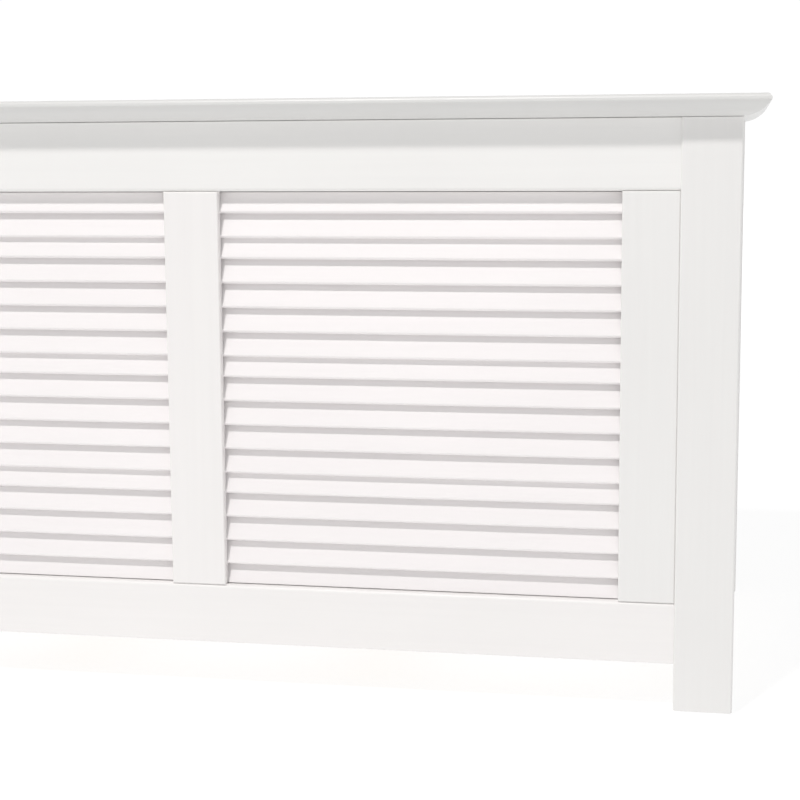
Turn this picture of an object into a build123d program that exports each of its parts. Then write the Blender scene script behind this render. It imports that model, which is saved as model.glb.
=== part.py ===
"""Wooden toy box with louvred walls and a hinged lid on two slotted stays.

Millimetres, +Z up, +Y towards the back, +X to the right. The origin is the centre
of the footprint, hinge barrels included, on the surface the box stands on.
"""

from build123d import *
from math import asin, atan2, cos, degrees, radians, sin, sqrt
import os

# ---- driving dimensions -------------------------------------------------------
BODY_W = 943.0          # over the posts
BODY_D = 470.0
POST = 50.0
GLIDE_H = 2.0
FLOOR_GAP = 41.0        # bottom rail above the foot of the post
BOTTOM_RAIL_H = 53.0
OPENING_H = 349.5
TOP_RAIL_H = 60.2
END_STILE_W = 48.0
CENTRE_STILE_W = 49.0
FRAME_T = 25.0
PROUD = 2.5             # how far a post stands out past the front and side frames
POST_ROUND = 2.0
RAIL_ROUND = 3.5        # beside the opening
RAIL_OUTER_ROUND = 0.8
STILE_ROUND = 1.3

SLAT_T = 6.0
SLAT_W = 32.0
SLAT_ROUND = 1.4
SLAT_TILT = 20.0        # from upright, lower edge forward
SLAT_RECESS = 6.0       # lower edge of a slat behind the frame's face
SLAT_PITCH = 21.5
SLAT_GROUPS = (2, 5, 5, 5)
SHORT_STEP = 18.3       # between one group of slats and the next
FIRST_SLAT_DROP = 17.7  # from the top of the opening to the first lower edge
SLAT_PLAY = 0.8         # between the slats and the rails
POCKET = 6.0            # a slat's end goes this far into the stile
POCKET_FLARE, POCKET_RISE = 6.0, 24.0   # a pocket is this much wider in front at this height

BACK_PANEL_T = 6.0
GROOVE = 8.0
FLOOR_T = 6.0
FLOOR_PLAY = 1.0        # between the floor panel and the walls and posts
BEARER_W = 40.0
BEARER_X = (-140.0, 140.0)
CLEAT = 18.0
LONG_CLEAT_L = 750.0
LONG_CLEAT_SCREWS = (-300.0, 0.0, 300.0)
SIDE_CLEAT_SCREWS = (-110.0, 110.0)
CLEAT_ABOVE_RAIL = 7.0  # underside of a cleat above the rail's lower edge

LID_T = 18.0
OVERHANG = 22.0
LID_GAP = 0.3
LID_TOP_ROUND = 4.0
LID_NOSE = 0.8          # upright band between the top round and the moulding
MOULDING_BULGE = 3.0
BATTEN_W, BATTEN_H, BATTEN_L = 42.0, 14.0, 380.0
BATTEN_ROUND = 2.0
BATTEN_X = 235.0
BATTEN_SCREWS = (-150.0, -50.0, 50.0, 150.0)

BARREL_R = 3.0
PIN_R = 1.3
PIN_CLEARANCE = 0.05
HINGE_L = 70.0
HINGE_X = (-330.0, 0.0, 330.0)
KNUCKLES = 5
LEAF_T = 1.6
LEAF_H = 15.0
LEAF_CUT = 3.4          # a leaf stays this far from the other leaf's barrels
KNUCKLE_GAP = 0.3
PIN_CAP_R, PIN_CAP_T = 2.0, 0.8
BARREL_OUT = 3.5        # hinge axis behind the back face
AXIS_DROP = 0.5         # hinge axis below the lid's underside

STAY_REACH = 147.0      # hinge axis to either end of the stay's triangle
LID_PIVOT_DROP = 13.0   # lid pivot below the hinge axis
STUD_DROP = 35.0        # wall stud below the hinge axis
LID_OPENS = 85.0
ARM_T, ARM_R, ARM_PLAY = 2.0, 8.0, 0.3
RIVET_R, RIVET_HEAD_R, RIVET_HEAD_T, RIVET_TAIL_T = 2.5, 4.5, 1.3, 0.8
SLOT_R, SLOT_ALLOWANCE = 3.3, 0.4
STUD_R, STUD_HEAD_R, STUD_HEAD_T = 3.0, 6.0, 3.0
WASHER_R, WASHER_T = 5.0, 2.0
THREAD_R, THREAD_L = 2.0, 12.0
PLATE_T, STUD_PLATE_W, STUD_PLATE_H, PLATE_CORNER = 1.5, 38.0, 16.0, 4.0
PLATE_SCREW = 13.0      # stud to either screw of its plate
TAB_T, TAB_R = 1.6, 7.0
FOOT_W, FOOT_L, FOOT_CORNER, FOOT_SCREW = 17.0, 34.0, 2.0, 11.0

DOWEL_R, DOWEL_L = 4.0, 36.0
PEG_OFFSET = 14.0       # dowels and cams above and below the middle of a rail
CAM_R, CAM_T = 7.5, 16.0
CAM_CROSS_L, CAM_CROSS_W, CAM_CROSS_DEEP = 9.0, 2.0, 2.5
CAM_INSET = 34.0        # cam's centre from the rail's end
CAM_PIN_R, CAM_PIN_IN_POST, CAM_PIN_IN_CAM = 3.0, 12.0, 5.0

SCREW_R, SCREW_HEAD_R, SCREW_RIM = 1.75, 3.4, 0.3
SCREW_CROSS_L, SCREW_CROSS_W = 3.8, 0.9
HINGE_SCREW_L, STAY_SCREW_L, CLEAT_SCREW_L, BATTEN_SCREW_L = 16.0, 14.0, 34.0, 26.0
LEAF_SCREW_X = (-24.0, 0.0, 24.0)

GLIDE_R, GLIDE_CHAMFER = 11.0, 0.6
NAIL_R, NAIL_L = 1.2, 12.0
FOOT_CHAMFER = 1.0
BUMPER_R, BUMPER_H, BUMPER_PROUD = 5.0, 2.0, 0.2

# ---- places worked out from them ----------------------------------------------
TOTAL_D = OVERHANG + BODY_D + BARREL_OUT + BARREL_R
FRONT = OVERHANG - TOTAL_D / 2          # front face of the posts
BACK = FRONT + BODY_D
MID_Y = (FRONT + BACK) / 2
HALF_W = BODY_W / 2
SIDE_FACE = HALF_W - PROUD
SIDE_INNER = SIDE_FACE - FRAME_T
POST_X = HALF_W - POST / 2
RAIL_Z = GLIDE_H + FLOOR_GAP
OPEN_Z = RAIL_Z + BOTTOM_RAIL_H
OPEN_TOP = OPEN_Z + OPENING_H
OPEN_MIDDLE = OPEN_Z + OPENING_H / 2
CARCASS_TOP = OPEN_TOP + TOP_RAIL_H
LID_Z = CARCASS_TOP + LID_GAP
FRONT_SPAN = BODY_W - 2 * POST
SIDE_SPAN = BODY_D - 2 * POST
CLEAT_Z = RAIL_Z + CLEAT_ABOVE_RAIL
FLOOR_Z = CLEAT_Z + CLEAT
AXIS_Y = BACK + BARREL_OUT
AXIS_Z = LID_Z - AXIS_DROP

PIVOT_Y = AXIS_Y - sqrt(STAY_REACH**2 - LID_PIVOT_DROP**2)
PIVOT_Z = AXIS_Z - LID_PIVOT_DROP
STUD_Y = AXIS_Y - sqrt(STAY_REACH**2 - STUD_DROP**2)
STUD_Z = AXIS_Z - STUD_DROP
SHUT_ANGLE = degrees(asin(STUD_DROP / STAY_REACH) - asin(LID_PIVOT_DROP / STAY_REACH))
SHUT_REACH = 2 * STAY_REACH * sin(radians(SHUT_ANGLE / 2))
OPEN_REACH = 2 * STAY_REACH * sin(radians((SHUT_ANGLE + LID_OPENS) / 2))

# Each wall is drawn on its own outer face: x to the right as seen from outside, y up.
FRONT_WALL = Plane((0, FRONT + PROUD, 0), x_dir=(1, 0, 0), z_dir=(0, -1, 0))
RIGHT_WALL = Plane((SIDE_FACE, MID_Y, 0), x_dir=(0, 1, 0), z_dir=(1, 0, 0))
LEFT_WALL = Plane((-SIDE_FACE, MID_Y, 0), x_dir=(0, -1, 0), z_dir=(-1, 0, 0))
BACK_WALL = Plane((0, BACK, 0), x_dir=(-1, 0, 0), z_dir=(0, 1, 0))

os.makedirs("parts", exist_ok=True)


def save(piece, node):
    """Names a finished piece and writes its file."""
    piece.part.label = node
    export_step(piece.part, f"parts/{node}.step")


def cut(*tools):
    """Cuts finished pieces out of the part being built, so that they fit it exactly."""
    for tool in tools:
        add(tool.part, mode=Mode.SUBTRACT)


def board(wall, x, z, width, height, thickness=FRAME_T, deep=0.0):
    """A board in the part being built: its lower left corner is at x, z on a wall."""
    with BuildSketch(wall.offset(-deep)) as outline:
        with Locations((x, z)):
            Rectangle(width, height, align=(Align.MIN, Align.MIN))
    extrude(outline.sketch, amount=-thickness)


def outer_edges(piece, wall):
    """The edges round a board's outer face."""
    return piece.faces().sort_by(Axis(wall.origin, wall.z_dir))[-1].edges()


# ---- joinery, made first so that the boards can be cut to it -------------------
# The cams sit on the far side of each rail from the opening, the dowels on the near side.
BOTTOM_MIDDLE = RAIL_Z + BOTTOM_RAIL_H / 2
TOP_MIDDLE = OPEN_TOP + TOP_RAIL_H / 2
CAM_HEIGHTS = (BOTTOM_MIDDLE - PEG_OFFSET, TOP_MIDDLE + PEG_OFFSET)
DOWEL_HEIGHTS = (BOTTOM_MIDDLE + PEG_OFFSET, TOP_MIDDLE - PEG_OFFSET)
HALF_FRONT = FRONT_SPAN / 2
HALF_SIDE = SIDE_SPAN / 2
FRONT_STILES = (-HALF_FRONT + END_STILE_W / 2, 0.0, HALF_FRONT - END_STILE_W / 2)
SIDE_STILES = (-HALF_SIDE + END_STILE_W / 2, HALF_SIDE - END_STILE_W / 2)
CAM_PIN_L = CAM_PIN_IN_POST + CAM_INSET - CAM_R + CAM_PIN_IN_CAM


def pegs(wall, places, radius, length):
    """Round pegs along a wall's width in mid thickness, centred on the places."""
    middle = wall.origin - wall.z_dir * FRAME_T / 2
    across = Plane(middle, x_dir=-wall.z_dir, z_dir=wall.x_dir)
    for x, z in places:
        with BuildSketch(across.offset(x - length / 2)) as end:
            with Locations((0, z)):
                Circle(radius)
        extrude(end.sketch, amount=length)


def stile_pegs(wall, stiles):
    """A dowel upright in each end of each stile."""
    for x in stiles:
        for z in (OPEN_Z, OPEN_TOP):
            middle = wall.origin + wall.x_dir * x - wall.z_dir * FRAME_T / 2
            with BuildSketch(Plane((middle.X, middle.Y, z - DOWEL_L / 2))) as end:
                Circle(DOWEL_R)
            extrude(end.sketch, amount=DOWEL_L)


with BuildPart() as rail_dowels:
    joints = [(x, z) for x in (-HALF_FRONT, HALF_FRONT) for z in DOWEL_HEIGHTS]
    for wall in (FRONT_WALL, BACK_WALL):
        pegs(wall, joints, DOWEL_R, DOWEL_L)
save(rail_dowels, "rail_dowels")

with BuildPart() as side_dowels:
    heights = DOWEL_HEIGHTS + CAM_HEIGHTS
    joints = [(x, z) for x in (-HALF_SIDE, HALF_SIDE) for z in heights]
    for wall in (LEFT_WALL, RIGHT_WALL):
        pegs(wall, joints, DOWEL_R, DOWEL_L)
save(side_dowels, "side_dowels")

with BuildPart() as stile_dowels:
    stile_pegs(FRONT_WALL, FRONT_STILES)
    stile_pegs(BACK_WALL, (0.0,))
    stile_pegs(LEFT_WALL, SIDE_STILES)
    stile_pegs(RIGHT_WALL, SIDE_STILES)
save(stile_dowels, "stile_dowels")

with BuildPart() as cam_pins:
    centre = HALF_FRONT + CAM_PIN_IN_POST - CAM_PIN_L / 2
    joints = [(x, z) for x in (-centre, centre) for z in CAM_HEIGHTS]
    for wall in (FRONT_WALL, BACK_WALL):
        pegs(wall, joints, CAM_PIN_R, CAM_PIN_L)
save(cam_pins, "cam_pins")

with BuildPart() as cam_blanks:
    centre = HALF_FRONT - CAM_INSET
    cam_places = [(x, z) for x in (-centre, centre) for z in CAM_HEIGHTS]
    for wall in (FRONT_WALL, BACK_WALL):
        with BuildSketch(wall.offset(-FRAME_T)):
            with Locations(*cam_places):
                Circle(CAM_R)
        extrude(amount=CAM_T)

with BuildPart() as cam_locks:
    add(cam_blanks.part)
    for wall in (FRONT_WALL, BACK_WALL):
        with BuildSketch(wall.offset(-FRAME_T)):
            with Locations(*cam_places):
                Rectangle(CAM_CROSS_L, CAM_CROSS_W)
                Rectangle(CAM_CROSS_W, CAM_CROSS_L)
        extrude(amount=CAM_CROSS_DEEP, mode=Mode.SUBTRACT)
    cut(cam_pins)
save(cam_locks, "cam_locks")


# ---- louvre panels -------------------------------------------------------------
def slat_edges():
    """Heights of the slats' lower edges, from the top down."""
    z = OPEN_TOP - FIRST_SLAT_DROP
    heights = []
    for group in SLAT_GROUPS:
        heights += [z - SLAT_PITCH * i for i in range(group)]
        z = heights[-1] - SHORT_STEP
    return heights


def louvres(wall, x, width, height=OPENING_H - 2 * SLAT_PLAY, flare=0.0):
    """A panel's tilted slats, as separate solids, from stile to stile and into both. They are
    cut off level at a height about the opening's middle. The flare widens their upper ends."""
    section = Plane(wall.origin + wall.x_dir * (x - POCKET), x_dir=-wall.z_dir, z_dir=wall.x_dir)
    with BuildPart() as slats:
        for z in slat_edges():
            with BuildSketch(section):
                with Locations(Location((SLAT_RECESS, z), -SLAT_TILT)):
                    RectangleRounded(SLAT_T, SLAT_W, SLAT_ROUND, align=(Align.MIN, Align.MIN))
                    if flare:
                        wedge = (0, SLAT_ROUND), (0, POCKET_RISE), (-flare, POCKET_RISE)
                        Polygon(*wedge, align=None)
            extrude(amount=width + 2 * POCKET)
        with BuildSketch(wall):
            with Locations((x + width / 2, OPEN_MIDDLE)):
                Rectangle(width + 3 * POCKET, height)
        extrude(amount=-2 * FRAME_T, mode=Mode.INTERSECT)
    return slats


def pockets(wall, x, width):
    """What a panel's slats take out of the stiles: flared, and open at the stiles' ends."""
    return louvres(wall, x, width, OPENING_H, POCKET_FLARE)


FRONT_OPENING = (FRONT_SPAN - 2 * END_STILE_W - CENTRE_STILE_W) / 2
SIDE_OPENING = SIDE_SPAN - 2 * END_STILE_W
front_left = FRONT_WALL, -CENTRE_STILE_W / 2 - FRONT_OPENING, FRONT_OPENING
front_right = FRONT_WALL, CENTRE_STILE_W / 2, FRONT_OPENING
left = LEFT_WALL, -SIDE_OPENING / 2, SIDE_OPENING
right = RIGHT_WALL, -SIDE_OPENING / 2, SIDE_OPENING

save(louvres(*front_left), "front_louvres_left")
save(louvres(*front_right), "front_louvres_right")
save(louvres(*left), "left_louvres")
save(louvres(*right), "right_louvres")

# ---- back panels, in grooves all round ----------------------------------------
BACK_BAY = (FRONT_SPAN - CENTRE_STILE_W) / 2
PANEL_DEEP = (FRAME_T - BACK_PANEL_T) / 2


def back_panel(x):
    with BuildPart() as panel:
        board(
            BACK_WALL,
            x - GROOVE,
            OPEN_Z - GROOVE,
            BACK_BAY + 2 * GROOVE,
            OPENING_H + 2 * GROOVE,
            BACK_PANEL_T,
            PANEL_DEEP,
        )
    return panel


back_panel_left = back_panel(CENTRE_STILE_W / 2)
save(back_panel_left, "back_panel_left")
back_panel_right = back_panel(-CENTRE_STILE_W / 2 - BACK_BAY)
save(back_panel_right, "back_panel_right")


# ---- screws --------------------------------------------------------------------
def screws(places, length):
    """Countersunk screws without their recesses: each head lies in its plane and faces out."""
    with BuildPart() as set_of_screws:
        for place in places:
            upright = Plane(place.origin, x_dir=place.x_dir, z_dir=-place.y_dir)
            with BuildSketch(upright) as half:
                with BuildLine():
                    Polyline(
                        (0, 0),
                        (SCREW_HEAD_R, 0),
                        (SCREW_HEAD_R, -SCREW_RIM),
                        (SCREW_R, SCREW_R - SCREW_HEAD_R - SCREW_RIM),
                        (SCREW_R, SCREW_R - length),
                        (0, -length),
                        close=True,
                    )
                make_face()
            revolve(half.sketch, axis=Axis(place.origin, place.z_dir))
    return set_of_screws


def save_screws(blanks, places, node):
    """Cuts the cross recesses, which the holes don't have, and writes the screws."""
    with BuildPart() as driven:
        add(blanks.part)
        for place in places:
            with BuildSketch(place) as cross:
                Rectangle(SCREW_CROSS_L, SCREW_CROSS_W)
                Rectangle(SCREW_CROSS_W, SCREW_CROSS_L)
            extrude(cross.sketch, amount=-SCREW_CROSS_W, mode=Mode.SUBTRACT)
    save(driven, node)


def leaf_places(up):
    """Screw heads on the hinge leaves above the axis (up is 1) or below it (-1)."""
    z = AXIS_Z + up * (LEAF_CUT + LEAF_H) / 2
    return [
        Plane((x + dx, BACK + LEAF_T, z), (1, 0, 0), (0, 1, 0))
        for x in HINGE_X
        for dx in LEAF_SCREW_X
    ]


SIDES = (-1, 1)
PLATE_X = SIDE_INNER - PLATE_T              # inner face of the stud's plate
WASHER_X = PLATE_X - WASHER_T
ARM_X = WASHER_X - ARM_PLAY - ARM_T         # inner face of the arm
TAB_X = ARM_X + ARM_T + ARM_PLAY            # inner face of the lid bracket's tab
FOOT_X = TAB_X + TAB_T - FOOT_W / 2         # middle of the lid bracket's foot
CLEAT_FRONT = FRONT + PROUD + FRAME_T
CLEAT_BACK = BACK - FRAME_T
INNER_D = CLEAT_BACK - CLEAT_FRONT
INNER_Y = (CLEAT_FRONT + CLEAT_BACK) / 2
CLEAT_MID_Z = CLEAT_Z + CLEAT / 2

carcass_leaf_places = leaf_places(-1)
lid_leaf_places = leaf_places(1)
plate_places = [
    Plane((side * PLATE_X, STUD_Y + dy, STUD_Z), (0, 1, 0), (-side, 0, 0))
    for side in SIDES
    for dy in (-PLATE_SCREW, PLATE_SCREW)
]
bracket_places = [
    Plane((side * FOOT_X, PIVOT_Y + dy, LID_Z - TAB_T), (1, 0, 0), (0, 0, -1))
    for side in SIDES
    for dy in (-FOOT_SCREW, FOOT_SCREW)
]
cleat_places = [
    Plane((x, y, CLEAT_MID_Z), (1, 0, 0), (0, facing, 0))
    for y, facing in ((CLEAT_FRONT + CLEAT, 1), (CLEAT_BACK - CLEAT, -1))
    for x in LONG_CLEAT_SCREWS
] + [
    Plane((side * (SIDE_INNER - CLEAT), MID_Y + dy, CLEAT_MID_Z), (0, 1, 0), (-side, 0, 0))
    for side in SIDES
    for dy in SIDE_CLEAT_SCREWS
]
batten_places = [
    Plane((side * BATTEN_X, MID_Y + dy, LID_Z - BATTEN_H), (1, 0, 0), (0, 0, -1))
    for side in SIDES
    for dy in BATTEN_SCREWS
]

hinge_screws_carcass = screws(carcass_leaf_places, HINGE_SCREW_L)
hinge_screws_lid = screws(lid_leaf_places, HINGE_SCREW_L)
stay_plate_screws = screws(plate_places, STAY_SCREW_L)
stay_bracket_screws = screws(bracket_places, STAY_SCREW_L)
cleat_screws = screws(cleat_places, CLEAT_SCREW_L)
batten_screws = screws(batten_places, BATTEN_SCREW_L)
save_screws(hinge_screws_carcass, carcass_leaf_places, "hinge_screws_carcass")
save_screws(hinge_screws_lid, lid_leaf_places, "hinge_screws_lid")
save_screws(stay_plate_screws, plate_places, "stay_plate_screws")
save_screws(stay_bracket_screws, bracket_places, "stay_bracket_screws")
save_screws(cleat_screws, cleat_places, "cleat_screws")
save_screws(batten_screws, batten_places, "batten_screws")

# ---- the stays' fixed ends -----------------------------------------------------
def facing_in(x, y, z, side):
    """A plane at one side of the box that faces its middle."""
    return Plane((side * x, y, z), x_dir=(0, -side, 0), z_dir=(-side, 0, 0))


def steps(side, y, z, start, *discs):
    """A turned piece: discs one after another towards the middle, each a radius and an end."""
    for radius, end in discs:
        with BuildSketch(facing_in(start, y, z, side)) as face:
            Circle(radius)
        extrude(face.sketch, amount=start - end)
        start = end


with BuildPart() as stay_studs:
    for side in SIDES:
        steps(
            side,
            STUD_Y,
            STUD_Z,
            SIDE_INNER + THREAD_L,
            (THREAD_R, PLATE_X),
            (WASHER_R, WASHER_X),
            (STUD_R, ARM_X - 2 * ARM_PLAY),
            (STUD_HEAD_R, ARM_X - 2 * ARM_PLAY - STUD_HEAD_T),
        )
save(stay_studs, "stay_studs")

with BuildPart() as stay_rivets:
    for side in SIDES:
        steps(
            side,
            PIVOT_Y,
            PIVOT_Z,
            TAB_X + TAB_T + RIVET_TAIL_T,
            (RIVET_HEAD_R, TAB_X + TAB_T),
            (RIVET_R, ARM_X - ARM_PLAY),
            (RIVET_HEAD_R, ARM_X - ARM_PLAY - RIVET_HEAD_T),
        )
save(stay_rivets, "stay_rivets")

with BuildPart() as stay_plates:
    for side in SIDES:
        with BuildSketch(facing_in(SIDE_INNER, STUD_Y, STUD_Z, side)):
            RectangleRounded(STUD_PLATE_W, STUD_PLATE_H, PLATE_CORNER)
        extrude(amount=PLATE_T)
    cut(stay_studs, stay_plate_screws)
save(stay_plates, "stay_plates")

with BuildPart() as stay_brackets:
    for side in SIDES:
        with BuildSketch(Plane.XY.offset(LID_Z)):
            with Locations((side * FOOT_X, PIVOT_Y)):
                RectangleRounded(FOOT_W, FOOT_L, FOOT_CORNER)
        extrude(amount=-TAB_T)
        with BuildSketch(facing_in(TAB_X + TAB_T, PIVOT_Y, PIVOT_Z, side)):
            Circle(TAB_R)
            with Locations((0, (LID_Z - PIVOT_Z) / 2)):
                Rectangle(2 * TAB_R, LID_Z - PIVOT_Z)
        extrude(amount=TAB_T)
    cut(stay_rivets, stay_bracket_screws)
save(stay_brackets, "stay_brackets")


# ---- posts ---------------------------------------------------------------------
POST_PLACES = {
    "front_left": (-POST_X, FRONT + POST / 2),
    "front_right": (POST_X, FRONT + POST / 2),
    "back_left": (-POST_X, BACK - POST / 2),
    "back_right": (POST_X, BACK - POST / 2),
}

with BuildPart() as foot_glides:
    with BuildSketch():
        with Locations(*POST_PLACES.values()):
            Circle(GLIDE_R)
    extrude(amount=GLIDE_H)
    chamfer(foot_glides.edges().group_by(Axis.Z)[0], GLIDE_CHAMFER)
    with BuildSketch(Plane.XY.offset(GLIDE_H)):
        with Locations(*POST_PLACES.values()):
            Circle(NAIL_R)
    extrude(amount=NAIL_L)
save(foot_glides, "foot_glides")

with BuildPart() as lid_bumpers:
    with BuildSketch(Plane.XY.offset(CARCASS_TOP + BUMPER_PROUD)):
        with Locations(POST_PLACES["front_left"], POST_PLACES["front_right"]):
            Circle(BUMPER_R)
    extrude(amount=-BUMPER_H)
save(lid_bumpers, "lid_bumpers")

for corner, (x, y) in POST_PLACES.items():
    with BuildPart() as post:
        with BuildSketch(Plane.XY.offset(GLIDE_H)):
            with Locations((x, y)):
                Rectangle(POST, POST)
        extrude(amount=CARCASS_TOP - GLIDE_H)
        fillet(post.edges().filter_by(Axis.Z), POST_ROUND)
        chamfer(post.faces().sort_by(Axis.Z)[0].edges(), FOOT_CHAMFER)
        cut(rail_dowels, side_dowels, cam_pins, foot_glides, lid_bumpers)
        if corner.startswith("back"):
            cut(back_panel_left, back_panel_right)
    save(post, f"post_{corner}")


# ---- rails and stiles ----------------------------------------------------------
def rail(wall, span, z, height, *fittings):
    with BuildPart() as piece:
        board(wall, -span / 2, z, span, height)
        along = Axis(wall.origin, wall.x_dir)
        for which, radius in ((0, RAIL_ROUND), (-1, RAIL_OUTER_ROUND)):
            arrises = outer_edges(piece, wall).filter_by(along)
            outwards = arrises.sort_by(lambda arris: abs(arris.center().Z - OPEN_MIDDLE))
            fillet(outwards[which], radius)
        cut(stile_dowels, *fittings)
    return piece


def stile(wall, x, width, *fittings):
    with BuildPart() as piece:
        board(wall, x - width / 2, OPEN_Z, width, OPENING_H)
        fillet(outer_edges(piece, wall), STILE_ROUND)
        cut(stile_dowels, *fittings)
    return piece


RAILS = (("bottom", RAIL_Z, BOTTOM_RAIL_H), ("top", OPEN_TOP, TOP_RAIL_H))
for level, z, height in RAILS:
    fixings = (rail_dowels, cam_pins, cam_blanks, cleat_screws)
    save(rail(FRONT_WALL, FRONT_SPAN, z, height, *fixings), f"front_{level}_rail")
    fixings += (hinge_screws_carcass, back_panel_left, back_panel_right)
    save(rail(BACK_WALL, FRONT_SPAN, z, height, *fixings), f"back_{level}_rail")
    fixings = (side_dowels, cleat_screws, stay_plate_screws, stay_studs)
    for name, wall in (("left", LEFT_WALL), ("right", RIGHT_WALL)):
        save(rail(wall, SIDE_SPAN, z, height, *fixings), f"{name}_{level}_rail")

left_pockets, right_pockets = pockets(*front_left), pockets(*front_right)
save(stile(FRONT_WALL, FRONT_STILES[0], END_STILE_W, left_pockets), "front_stile_left")
both_pockets = (left_pockets, right_pockets)
save(stile(FRONT_WALL, FRONT_STILES[1], CENTRE_STILE_W, *both_pockets), "front_stile_centre")
save(stile(FRONT_WALL, FRONT_STILES[2], END_STILE_W, right_pockets), "front_stile_right")
side_pockets = pockets(*left)
save(stile(LEFT_WALL, SIDE_STILES[0], END_STILE_W, side_pockets), "left_stile_back")
save(stile(LEFT_WALL, SIDE_STILES[1], END_STILE_W, side_pockets), "left_stile_front")
side_pockets = pockets(*right)
save(stile(RIGHT_WALL, SIDE_STILES[0], END_STILE_W, side_pockets), "right_stile_front")
save(stile(RIGHT_WALL, SIDE_STILES[1], END_STILE_W, side_pockets), "right_stile_back")
save(
    stile(BACK_WALL, 0.0, CENTRE_STILE_W, back_panel_left, back_panel_right),
    "back_stile_centre",
)

# ---- floor ---------------------------------------------------------------------
with BuildPart() as floor_cleats:
    with BuildSketch(Plane.XY.offset(CLEAT_Z)):
        with Locations((0, CLEAT_FRONT + CLEAT / 2), (0, CLEAT_BACK - CLEAT / 2)):
            Rectangle(LONG_CLEAT_L, CLEAT)
        with Locations(*[(side * (SIDE_INNER - CLEAT / 2), MID_Y) for side in SIDES]):
            Rectangle(CLEAT, SIDE_SPAN)
    extrude(amount=CLEAT)
    cut(cleat_screws)
save(floor_cleats, "floor_cleats")

with BuildPart() as floor_bearers:
    with BuildSketch(Plane.XY.offset(CLEAT_Z)):
        with Locations(*[(x, INNER_Y) for x in BEARER_X]):
            Rectangle(BEARER_W, INNER_D - 2 * CLEAT)
    extrude(amount=CLEAT)
save(floor_bearers, "floor_bearers")

with BuildPart() as floor_panel:
    with BuildSketch(Plane.XY.offset(FLOOR_Z)):
        with Locations((0, INNER_Y)):
            Rectangle(2 * (SIDE_INNER - FLOOR_PLAY), INNER_D - 2 * FLOOR_PLAY)
        with Locations(*POST_PLACES.values()):
            notch = POST + 2 * FLOOR_PLAY
            Rectangle(notch, notch, mode=Mode.SUBTRACT)
    extrude(amount=FLOOR_T)
save(floor_panel, "floor_panel")


# ---- lid -----------------------------------------------------------------------
def moulded_edge(edge, inner):
    """Outline of the lid's moulded edge: from its top, round the nose and under to the body."""
    way = 1 if edge > inner else -1
    top = LID_Z + LID_T
    nose = top - LID_TOP_ROUND - LID_NOSE
    RadiusArc(
        (edge - way * LID_TOP_ROUND, top), (edge, top - LID_TOP_ROUND), way * LID_TOP_ROUND
    )
    Line((edge, top - LID_TOP_ROUND), (edge, nose))
    SagittaArc((edge, nose), (inner, LID_Z), way * MOULDING_BULGE)


with BuildPart() as lid_board:
    with BuildSketch(Plane.YZ):
        with BuildLine():
            moulded_edge(FRONT - OVERHANG, FRONT)
            Polyline(
                (FRONT, LID_Z),
                (BACK, LID_Z),
                (BACK, LID_Z + LID_T),
                (FRONT - OVERHANG + LID_TOP_ROUND, LID_Z + LID_T),
            )
        make_face()
    extrude(amount=HALF_W + OVERHANG, both=True)
    with BuildSketch(Plane.XZ):
        with BuildLine():
            moulded_edge(-HALF_W - OVERHANG, -HALF_W)
            moulded_edge(HALF_W + OVERHANG, HALF_W)
            Line((-HALF_W, LID_Z), (HALF_W, LID_Z))
            crown = HALF_W + OVERHANG - LID_TOP_ROUND
            Line((-crown, LID_Z + LID_T), (crown, LID_Z + LID_T))
        make_face()
    extrude(amount=TOTAL_D, both=True, mode=Mode.INTERSECT)
    cut(hinge_screws_lid, stay_bracket_screws, batten_screws)
save(lid_board, "lid_board")

with BuildPart() as lid_battens:
    with BuildSketch(Plane.XY.offset(LID_Z - BATTEN_H)):
        with Locations((-BATTEN_X, MID_Y), (BATTEN_X, MID_Y)):
            Rectangle(BATTEN_W, BATTEN_L)
    extrude(amount=BATTEN_H)
    fillet(lid_battens.edges().group_by(Axis.Z)[0], BATTEN_ROUND)
    cut(batten_screws)
save(lid_battens, "lid_battens")


# ---- hinges --------------------------------------------------------------------
KNUCKLE_PITCH = HINGE_L / KNUCKLES
KNUCKLE_L = KNUCKLE_PITCH - KNUCKLE_GAP


def leaves(up, order, bore):
    """Three leaves with their barrels. up is 1 for the lid's leaves, -1 for the carcass's."""
    with BuildPart() as leaf:
        for x in HINGE_X:
            barrels = [x - HINGE_L / 2 + KNUCKLE_PITCH * (i + 0.5) for i in order]
            with BuildSketch(Plane.XZ.offset(-BACK)):
                with Locations((x, AXIS_Z + up * (LEAF_CUT + LEAF_H) / 2)):
                    Rectangle(HINGE_L, LEAF_H - LEAF_CUT)
                with Locations(*[(barrel, AXIS_Z + up * LEAF_CUT / 2) for barrel in barrels]):
                    Rectangle(KNUCKLE_L, LEAF_CUT)
            extrude(amount=-LEAF_T)
            for barrel in barrels:
                with BuildSketch(Plane.YZ.offset(barrel - KNUCKLE_L / 2)):
                    with Locations((AXIS_Y, AXIS_Z)):
                        Circle(BARREL_R)
                        Circle(bore, mode=Mode.SUBTRACT)
                extrude(amount=KNUCKLE_L)
        cut(hinge_screws_carcass, hinge_screws_lid)
    return leaf


save(leaves(-1, (0, 2, 4), PIN_R), "hinge_leaves_carcass")
save(leaves(1, (1, 3), PIN_R + PIN_CLEARANCE), "hinge_leaves_lid")

with BuildPart() as hinge_pins:
    for x in HINGE_X:
        end = (HINGE_L - KNUCKLE_GAP) / 2
        with BuildSketch(Plane.YZ.offset(x - end)):
            with Locations((AXIS_Y, AXIS_Z)):
                Circle(PIN_R)
        extrude(amount=2 * end)
        for way in (-1, 1):
            with BuildSketch(Plane.YZ.offset(x + way * end)):
                with Locations((AXIS_Y, AXIS_Z)):
                    Circle(PIN_CAP_R)
            extrude(amount=way * PIN_CAP_T)
save(hinge_pins, "hinge_pins")

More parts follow.
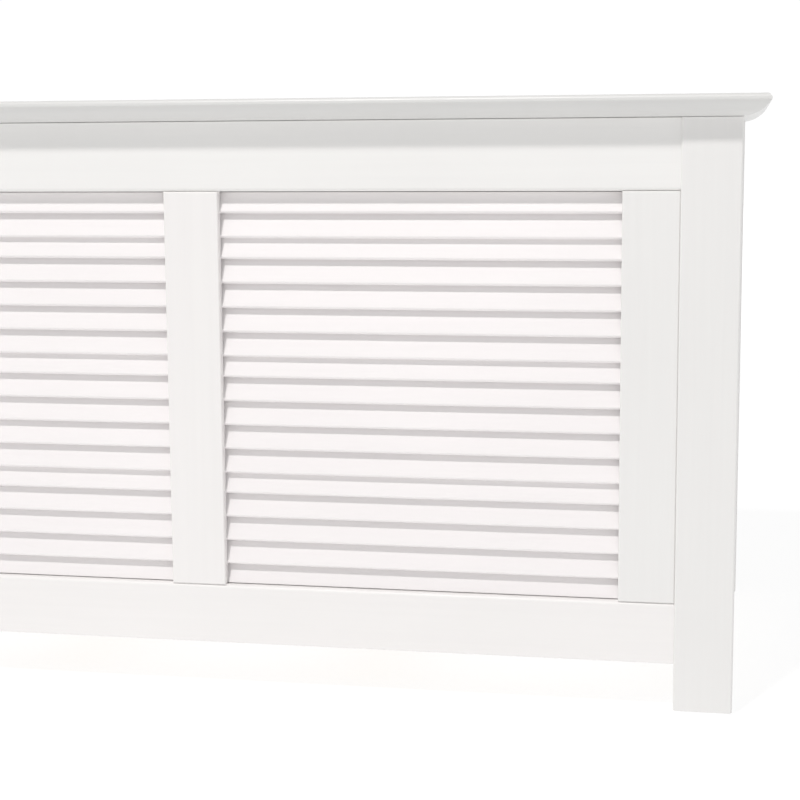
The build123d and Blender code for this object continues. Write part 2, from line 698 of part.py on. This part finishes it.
# ---- lid stays -----------------------------------------------------------------
# The lid pivot, the wall stud and the hinge axis make a triangle with two equal sides, so
# the arm turns back on the lid by exactly half the lid's angle while its slot runs along
# the stud.
ARM_ANGLE = atan2(STUD_Z - PIVOT_Z, STUD_Y - PIVOT_Y)
ARM_LINE = (0, cos(ARM_ANGLE), sin(ARM_ANGLE))
SLOT_L = OPEN_REACH - SHUT_REACH + 2 * SLOT_ALLOWANCE

for name, side in (("left", -1), ("right", 1)):
    with BuildPart() as stay_arm:
        with BuildSketch(Plane((side * ARM_X, PIVOT_Y, PIVOT_Z), ARM_LINE, (side, 0, 0))):
            with Locations((OPEN_REACH / 2, 0)):
                SlotCenterToCenter(OPEN_REACH, 2 * ARM_R)
            Circle(RIVET_R + PIN_CLEARANCE, mode=Mode.SUBTRACT)
            with Locations(((SHUT_REACH + OPEN_REACH) / 2, 0)):
                SlotCenterToCenter(SLOT_L, 2 * SLOT_R, mode=Mode.SUBTRACT)
        extrude(amount=ARM_T)
    save(stay_arm, f"stay_arm_{name}")
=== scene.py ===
"""Looks of a white painted toy box with louvred sides and a hinged lid.

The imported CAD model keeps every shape. This script gives each node its finish, and adds the floor,
the light and the camera. All lengths are in metres, as in the frame.
"""

import functools
import math

import bmesh
import bpy
from mathutils import Matrix, Vector

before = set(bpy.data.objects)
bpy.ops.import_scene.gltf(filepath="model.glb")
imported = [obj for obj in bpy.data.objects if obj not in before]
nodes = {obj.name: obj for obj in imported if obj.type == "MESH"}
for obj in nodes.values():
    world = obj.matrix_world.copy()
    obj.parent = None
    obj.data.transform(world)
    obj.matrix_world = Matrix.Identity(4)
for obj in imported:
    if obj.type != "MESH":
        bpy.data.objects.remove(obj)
bpy.context.view_layer.update()

MM = 0.001


# --- Node helpers ---------------------------------------------------------------------------------

ALONG = {"x": 0, "y": 1, "z": 2}
BEVEL_SAMPLES = 4
# Cosine of the angle between true and rounded normal, on a flat and on a fully rounded edge.
FLAT_COSINE, EDGE_COSINE = 0.995, 0.90


def scaled(colour, share):
    return [level * share for level in colour]


class Finish:
    """A Principled material being put together, with short calls for the nodes that feed it."""

    def __init__(self, name, **values):
        self.material = bpy.data.materials.new(name)
        self.material.use_nodes = True
        self.tree = self.material.node_tree
        self.shader = self.tree.nodes["Principled BSDF"]
        for socket, value in values.items():
            self.shader.inputs[socket.replace("_", " ")].default_value = value
        self.place = self.node("ShaderNodeTexCoord").outputs["Object"]

    def node(self, kind, **settings):
        made = self.tree.nodes.new(kind)
        for key, value in settings.items():
            setattr(made, key, value)
        return made

    def feed(self, socket, value):
        if isinstance(value, bpy.types.NodeSocket):
            self.tree.links.new(value, socket)
        else:
            socket.default_value = value

    def stretched(self, grain, ratio):
        """The place on the object, with distances along the grain drawn out ratio times."""
        mapping = self.node("ShaderNodeMapping")
        self.feed(mapping.inputs["Vector"], self.place)
        scale = [1.0, 1.0, 1.0]
        scale[ALONG[grain]] = 1.0 / ratio
        mapping.inputs["Scale"].default_value = scale
        return mapping.outputs["Vector"]

    def noise(self, scale, detail=2.0, rough=0.5, place=None, distortion=0.0):
        made = self.node("ShaderNodeTexNoise")
        self.feed(made.inputs["Vector"], self.place if place is None else place)
        made.inputs["Scale"].default_value = scale
        made.inputs["Detail"].default_value = detail
        made.inputs["Roughness"].default_value = rough
        made.inputs["Distortion"].default_value = distortion
        return made.outputs["Fac"]

    def between(self, value, low, high, start=0.0, end=1.0):
        """value's range low to high, spread over start to end and held there."""
        made = self.node("ShaderNodeMapRange", clamp=True)
        names = ("Value", "From Min", "From Max", "To Min", "To Max")
        for name, given in zip(names, (value, low, high, start, end)):
            self.feed(made.inputs[name], given)
        return made.outputs["Result"]

    def sum(self, *values, operation="ADD"):
        total = values[0]
        for value in values[1:]:
            made = self.node("ShaderNodeMath", operation=operation)
            self.feed(made.inputs[0], total)
            self.feed(made.inputs[1], value)
            total = made.outputs[0]
        return total

    def times(self, *values):
        return self.sum(*values, operation="MULTIPLY")

    def mix(self, share, first, second):
        made = self.node("ShaderNodeMix", data_type="RGBA")
        self.feed(made.inputs["Factor"], share)
        for name, value in (("A", first), ("B", second)):
            is_socket = isinstance(value, bpy.types.NodeSocket)
            self.feed(made.inputs[name], value if is_socket else (*value, 1.0))
        return made.outputs["Result"]

    def edges(self, radius):
        """1 on the object's outer edges, 0 on its flats."""
        rounded = self.node("ShaderNodeBevel", samples=BEVEL_SAMPLES)
        rounded.inputs["Radius"].default_value = radius
        flat = self.node("ShaderNodeNewGeometry")
        cosine = self.node("ShaderNodeVectorMath", operation="DOT_PRODUCT")
        self.feed(cosine.inputs[0], rounded.outputs["Normal"])
        self.feed(cosine.inputs[1], flat.outputs["Normal"])
        return self.between(cosine.outputs["Value"], FLAT_COSINE, EDGE_COSINE)

    def bump(self, *layers):
        """layers are (height, depth in metres); the first lies under the others."""
        normal = None
        for height, depth in layers:
            made = self.node("ShaderNodeBump")
            made.inputs["Strength"].default_value = 1.0
            made.inputs["Distance"].default_value = depth
            self.feed(made.inputs["Height"], height)
            if normal is not None:
                self.feed(made.inputs["Normal"], normal)
            normal = made.outputs["Normal"]
        self.feed(self.shader.inputs["Normal"], normal)

    def colour(self, value):
        self.feed(self.shader.inputs["Base Color"], value)

    def roughness(self, value):
        self.feed(self.shader.inputs["Roughness"], value)


# --- Finishes -------------------------------------------------------------------------------------
# A noise's scale is its features per metre. A SHADE is the share of the colour left in a dark part,
# and a MOST is the largest share that a layer takes.

PRIMER = (0.74, 0.71, 0.66)
PAINT_IOR = 1.48
CLOUD_SHADE, STREAK_SHADE, STREAK_MOST = 0.975, 0.93, 0.3
RUB_RADIUS, RUB_MOST = 1.1 * MM, 0.35


def paint(name, grain, white, gloss):
    """Satin paint brushed along the grain over primed wood, with the wood just telling through."""
    f = Finish(name, IOR=PAINT_IOR)
    brush = f.noise(scale=420.0, detail=3.0, rough=0.6, place=f.stretched(grain, ratio=26.0))
    drawn = f.stretched(grain, ratio=40.0)
    grain_lines = f.noise(scale=150.0, detail=4.0, rough=0.62, place=drawn, distortion=0.4)
    peel = f.noise(scale=1500.0)
    cloud = f.noise(scale=5.0, detail=3.0)
    patches = f.between(f.noise(scale=55.0, detail=4.0, rough=0.65), low=0.44, high=0.66)
    rub = f.times(f.edges(RUB_RADIUS), patches)
    shade = f.mix(f.between(cloud, low=0.3, high=0.7), white, scaled(white, CLOUD_SHADE))
    streaks = f.between(grain_lines, low=0.35, high=0.75, end=STREAK_MOST)
    streaked = f.mix(streaks, shade, scaled(white, STREAK_SHADE))
    f.colour(f.mix(f.times(rub, RUB_MOST), streaked, PRIMER))
    brushed = f.between(brush, low=0.2, high=0.8, start=gloss - 0.04, end=gloss + 0.07)
    f.roughness(f.sum(brushed, f.times(cloud, 0.05), f.times(rub, 0.12)))
    f.bump((grain_lines, 0.09 * MM), (brush, 0.05 * MM), (peel, 0.01 * MM))
    return f.material


WOOD_IOR = 1.45
# The growth rings' axis runs along the grain, moved off the frame's origin by this much.
RING_SHIFT = (0.06, 0.09, 0.11)
RING_SHAPE = {"Distortion": 2.2, "Detail": 3.0, "Detail Scale": 1.6}
LATE_MOST, FIBRE_MOST, BLOTCH_MOST = 0.5, 0.25, 0.25


def bare_wood(name, grain, pale, dark, rings_scale, gloss):
    """Planed wood: growth rings about an axis along the grain, and fine fibres with it."""
    f = Finish(name, IOR=WOOD_IOR)
    shifted = f.node("ShaderNodeMapping")
    f.feed(shifted.inputs["Vector"], f.stretched(grain, ratio=9.0))
    shifted.inputs["Location"].default_value = RING_SHIFT
    rings = f.node("ShaderNodeTexWave", wave_type="RINGS", rings_direction=grain.upper())
    f.feed(rings.inputs["Vector"], shifted.outputs["Vector"])
    for socket, value in {"Scale": rings_scale, **RING_SHAPE}.items():
        rings.inputs[socket].default_value = value
    fibre = f.noise(scale=900.0, detail=3.0, rough=0.6, place=f.stretched(grain, ratio=30.0))
    blotch = f.noise(scale=14.0, detail=3.0, place=f.stretched(grain, ratio=4.0))
    late = f.between(rings.outputs["Fac"], low=0.45, high=1.0)
    fibres = f.between(fibre, low=0.4, high=0.8, end=FIBRE_MOST)
    blotches = f.between(blotch, low=0.3, high=0.8, end=BLOTCH_MOST)
    f.colour(f.mix(f.sum(f.times(late, LATE_MOST), fibres, blotches), pale, dark))
    f.roughness(f.between(fibre, low=0.2, high=0.8, start=gloss - 0.08, end=gloss + 0.12))
    f.bump((late, 0.04 * MM), (fibre, 0.05 * MM))
    return f.material


METAL_SHADE, METAL_EDGE_RADIUS = 0.8, 0.4 * MM


def metal(name, colour, worn, gloss, grain, drawn):
    """Plated or brushed steel: fine lines one way, cloudy plating, brighter edges."""
    f = Finish(name, Metallic=1.0)
    scratch = f.noise(scale=2600.0, detail=3.0, rough=0.6, place=f.stretched(grain, drawn))
    cloud = f.noise(scale=90.0, detail=4.0, rough=0.6)
    patches = f.between(f.noise(scale=400.0, detail=3.0), low=0.35, high=0.6)
    edge = f.times(f.edges(METAL_EDGE_RADIUS), patches)
    dull = f.mix(f.between(cloud, low=0.35, high=0.7), colour, scaled(colour, METAL_SHADE))
    f.colour(f.mix(edge, dull, worn))
    brushed = f.between(scratch, low=0.2, high=0.8, start=gloss - 0.07, end=gloss + 0.09)
    f.roughness(f.sum(brushed, f.times(cloud, 0.1)))
    f.bump((scratch, 0.006 * MM), (cloud, 0.01 * MM))
    return f.material


PLASTIC_IOR, MOTTLE_SHADE = 1.5, 0.86


def moulded(name, colour, gloss, grit_scale):
    """Moulded rubber or nylon: a fine spark-eroded texture and a slight mottle."""
    f = Finish(name, IOR=PLASTIC_IOR)
    grit = f.noise(scale=grit_scale, detail=3.0, rough=0.6)
    mottle = f.noise(scale=220.0, detail=3.0)
    f.colour(f.mix(f.between(mottle, low=0.3, high=0.7), colour, scaled(colour, MOTTLE_SHADE)))
    f.roughness(f.between(grit, low=0.25, high=0.75, start=gloss - 0.08, end=gloss + 0.1))
    f.bump((mottle, 0.02 * MM), (grit, 0.03 * MM))
    return f.material


# --- Which node gets which finish -----------------------------------------------------------------

# Each paint's white and gloss. The lid's white is darker than the frame's: it is painted shade
# for the downward-facing moulding on the lid's front edge, not a different paint.
PAINTS = {
    "frame_paint": ((0.902, 0.893, 0.878), 0.36),
    "louvre_paint": ((0.933, 0.901, 0.901), 0.36),
    "panel_paint": ((0.88, 0.873, 0.862), 0.42),
    "lid_paint": ((0.731, 0.728, 0.716), 0.33),
}
# Some boards' whites hold painted light. Posts and stiles are darker: painted shade for the light
# falling off towards the box's right end. The centre stile and front bottom rail are rosy: a painted
# reflection of the pink louvres. The first word found in a name says which.
ROSY_PAINTED_REFLECTION = (0.912, 0.891, 0.880)
PAINTED_LIGHT_WHITES = {
    "post": (0.858, 0.848, 0.835),
    "stile_centre": ROSY_PAINTED_REFLECTION,
    "front_bottom_rail": ROSY_PAINTED_REFLECTION,
    "stile": (0.870, 0.860, 0.847),
}
# Pale and late wood, the rings' scale and the gloss.
WOODS = {
    "bare_pine": ((0.72, 0.53, 0.32), (0.50, 0.30, 0.14), 60.0, 0.55),
    "beech": ((0.66, 0.46, 0.30), (0.47, 0.29, 0.17), 110.0, 0.5),
}
# The name, plated and worn colours, gloss, and the lines' direction and how far they are drawn.
METALS = {
    "zinc": ("zinc_cast", (0.60, 0.60, 0.61), (0.78, 0.78, 0.79), 0.42, "x", 1.5),
    "screw_steel": ("screw_steel", (0.66, 0.64, 0.60), (0.85, 0.84, 0.82), 0.26, "x", 1.0),
    "hinge_steel": ("hinge_steel", (0.62, 0.60, 0.57), (0.84, 0.83, 0.80), 0.28, "x", 12.0),
    "stay_steel": ("stay_steel", (0.62, 0.61, 0.60), (0.84, 0.83, 0.82), 0.26, "z", 12.0),
}
# The name, colour, gloss and the grit's scale.
PLASTICS = {
    "bumper": ("bumper_rubber", (0.62, 0.61, 0.59), 0.6, 2400.0),
    "glide": ("glide_nylon", (0.70, 0.70, 0.68), 0.5, 1800.0),
}
GRAINS = {
    "y": (
        "left_top_rail", "left_bottom_rail", "right_top_rail", "right_bottom_rail",
        "left_louvres", "right_louvres", "lid_battens", "floor_bearers",
    ),
    "z": ("stile", "post", "stay_arm"),
}


def grain_of(name):
    for grain, words in GRAINS.items():
        if any(word in name for word in words) and not name.endswith("dowels"):
            return grain
    return "x"


# A board's white: darker as painted shade, or rosy as a painted reflection, where its name holds a
# listed word.
def board_white(name, usual):
    return next((white for word, white in PAINTED_LIGHT_WHITES.items() if word in name), usual)


@functools.cache
def painted(slot, white, gloss, grain):
    shade = "_".join(str(round(level * 1000)) for level in white)
    return paint(f"{slot}_{grain}_{shade}", grain, white, gloss)


@functools.cache
def wooden(slot, grain):
    return bare_wood(f"{slot}_{grain}", grain, *WOODS[slot])


@functools.cache
def fitted(slot):
    return metal(*METALS[slot]) if slot in METALS else moulded(*PLASTICS[slot])


def finish_for(name, slot):
    if slot in PAINTS:
        white, gloss = PAINTS[slot]
        return painted(slot, board_white(name, white), gloss, grain_of(name))
    if slot in WOODS:
        return wooden(slot, grain_of(name))
    return fitted(slot)


for name, node in nodes.items():
    slot = node.data.materials[0].name.split(".")[0]
    node.data.materials[0] = finish_for(name, slot)


# --- Floor ----------------------------------------------------------------------------------------

FLOOR_HALF, FLOOR_CELLS = 12.0, 8
FLOOR_GREYS = (0.255, 0.255, 0.255), (0.245, 0.245, 0.245)
# How strongly the floor glows under and behind the box, far off, and in front of it.
FLOOR_GLOW, FAR_GLOW = 0.82, 0.96
FRONT_LEFT_GLOW, FRONT_RIGHT_GLOW, FRONT_SPREAD = 0.57, 0.37, 1.2
FRONT_NEAR_Y, FRONT_FULL_Y = -0.5, -1.6
FAR_START, FAR_END = 2.2, 4.5


def make_floor():
    """A wide pale floor lit from below like a studio's light table, dimmer in front of the box."""
    shape = bmesh.new()
    bmesh.ops.create_grid(shape, x_segments=FLOOR_CELLS, y_segments=FLOOR_CELLS, size=FLOOR_HALF)
    mesh = bpy.data.meshes.new("floor")
    shape.to_mesh(mesh)
    shape.free()
    floor = bpy.data.objects.new("floor", mesh)
    bpy.context.scene.collection.objects.link(floor)
    f = Finish("floor_pale", Emission_Color=(1.0, 1.0, 1.0, 1.0), Specular_IOR_Level=0.1)
    f.colour(f.mix(f.noise(scale=3.0), *FLOOR_GREYS))
    f.roughness(f.between(f.noise(scale=40.0), low=0.3, high=0.7, start=0.85, end=0.95))
    split = f.node("ShaderNodeSeparateXYZ")
    f.feed(split.inputs["Vector"], f.place)
    across, away = split.outputs["X"], split.outputs["Y"]
    front = f.between(across, -FRONT_SPREAD, FRONT_SPREAD, FRONT_LEFT_GLOW, FRONT_RIGHT_GLOW)
    near = f.between(away, FRONT_FULL_Y, FRONT_NEAR_Y, front, FLOOR_GLOW)
    reach = f.node("ShaderNodeVectorMath", operation="LENGTH")
    f.feed(reach.inputs[0], f.place)
    glow = f.between(reach.outputs["Value"], FAR_START, FAR_END, near, FAR_GLOW)
    f.feed(f.shader.inputs["Emission Strength"], glow)
    mesh.materials.append(f.material)


make_floor()


# --- Light ----------------------------------------------------------------------------------------

# Sines of the elevations between which the light round the horizon and overhead fades.
HORIZON_SINES, ZENITH_SINES = (0.08, 0.23), (0.65, 0.92)
SKY_LIGHT, HORIZON_EXTRA, ZENITH_EXTRA = 0.35, 0.67, 0.50


def make_surroundings():
    """White surroundings, brightest round the horizon and straight above."""
    world = bpy.data.worlds.new("studio")
    bpy.context.scene.world = world
    world.use_nodes = True
    tree = world.node_tree
    way = tree.nodes.new("ShaderNodeTexCoord")
    split = tree.nodes.new("ShaderNodeSeparateXYZ")
    tree.links.new(way.outputs["Generated"], split.inputs["Vector"])
    both = tree.nodes.new("ShaderNodeMath")
    for place, (sines, start, end) in enumerate((
        (HORIZON_SINES, SKY_LIGHT + HORIZON_EXTRA, SKY_LIGHT),
        (ZENITH_SINES, 0.0, ZENITH_EXTRA),
    )):
        fade = tree.nodes.new("ShaderNodeMapRange")
        fade.interpolation_type = "SMOOTHSTEP"
        for name, value in zip(("From Min", "From Max", "To Min", "To Max"), (*sines, start, end)):
            fade.inputs[name].default_value = value
        tree.links.new(split.outputs["Z"], fade.inputs["Value"])
        tree.links.new(fade.outputs["Result"], both.inputs[place])
    background = tree.nodes["Background"]
    background.inputs["Color"].default_value = (1.0, 1.0, 1.0, 1.0)
    tree.links.new(both.outputs[0], background.inputs["Strength"])


KEY_AIM, KEY_DISTANCE = Vector((0.1, -0.227, 0.3)), 4.5
KEY_AZIMUTH, KEY_ELEVATION = math.radians(15.0), math.radians(57.0)
KEY_SIZE, KEY_POWER, KEY_TINT = 0.36, 94.5, (1.0, 0.985, 0.975)


def make_key():
    """A soft disc of light from the front left and above."""
    flat = math.cos(KEY_ELEVATION)
    way = Vector((
        -math.sin(KEY_AZIMUTH) * flat, -math.cos(KEY_AZIMUTH) * flat, math.sin(KEY_ELEVATION),
    ))
    data = bpy.data.lights.new("key", "AREA")
    data.shape, data.size, data.energy, data.color = "DISK", KEY_SIZE, KEY_POWER, KEY_TINT
    lamp = bpy.data.objects.new("key", data)
    bpy.context.scene.collection.objects.link(lamp)
    lamp.location = KEY_AIM + KEY_DISTANCE * way
    lamp.rotation_euler = way.to_track_quat("Z", "Y").to_euler()


make_surroundings()
make_key()


# --- Camera ---------------------------------------------------------------------------------------

CAMERA_PLACE = Vector((0.4753, -1.71145, 0.487))
YAW, PITCH, ROLL = math.radians(11.06), math.radians(8.28), math.radians(-0.39)
SENSOR_MM, LENS_MM = 36.0, 79.8
NEAREST, FURTHEST = 0.05, 50.0


def make_camera():
    """The photograph's view: turned left by YAW, down by PITCH, and rolled by ROLL."""
    data = bpy.data.cameras.new("camera")
    data.sensor_width, data.lens = SENSOR_MM, LENS_MM
    data.clip_start, data.clip_end = NEAREST, FURTHEST
    camera = bpy.data.objects.new("camera", data)
    bpy.context.scene.collection.objects.link(camera)
    level = Vector((math.cos(YAW), math.sin(YAW), 0.0))
    ahead = Vector((
        -math.sin(YAW) * math.cos(PITCH), math.cos(YAW) * math.cos(PITCH), -math.sin(PITCH),
    ))
    above = level.cross(ahead)
    right = math.cos(ROLL) * level + math.sin(ROLL) * above
    up = math.cos(ROLL) * above - math.sin(ROLL) * level
    turned = Matrix((right, up, -ahead)).transposed().to_4x4()
    camera.matrix_world = Matrix.Translation(CAMERA_PLACE) @ turned
    bpy.context.scene.camera = camera


make_camera()
bpy.context.scene.view_settings.view_transform = "Standard"

bpy.context.view_layer.update()
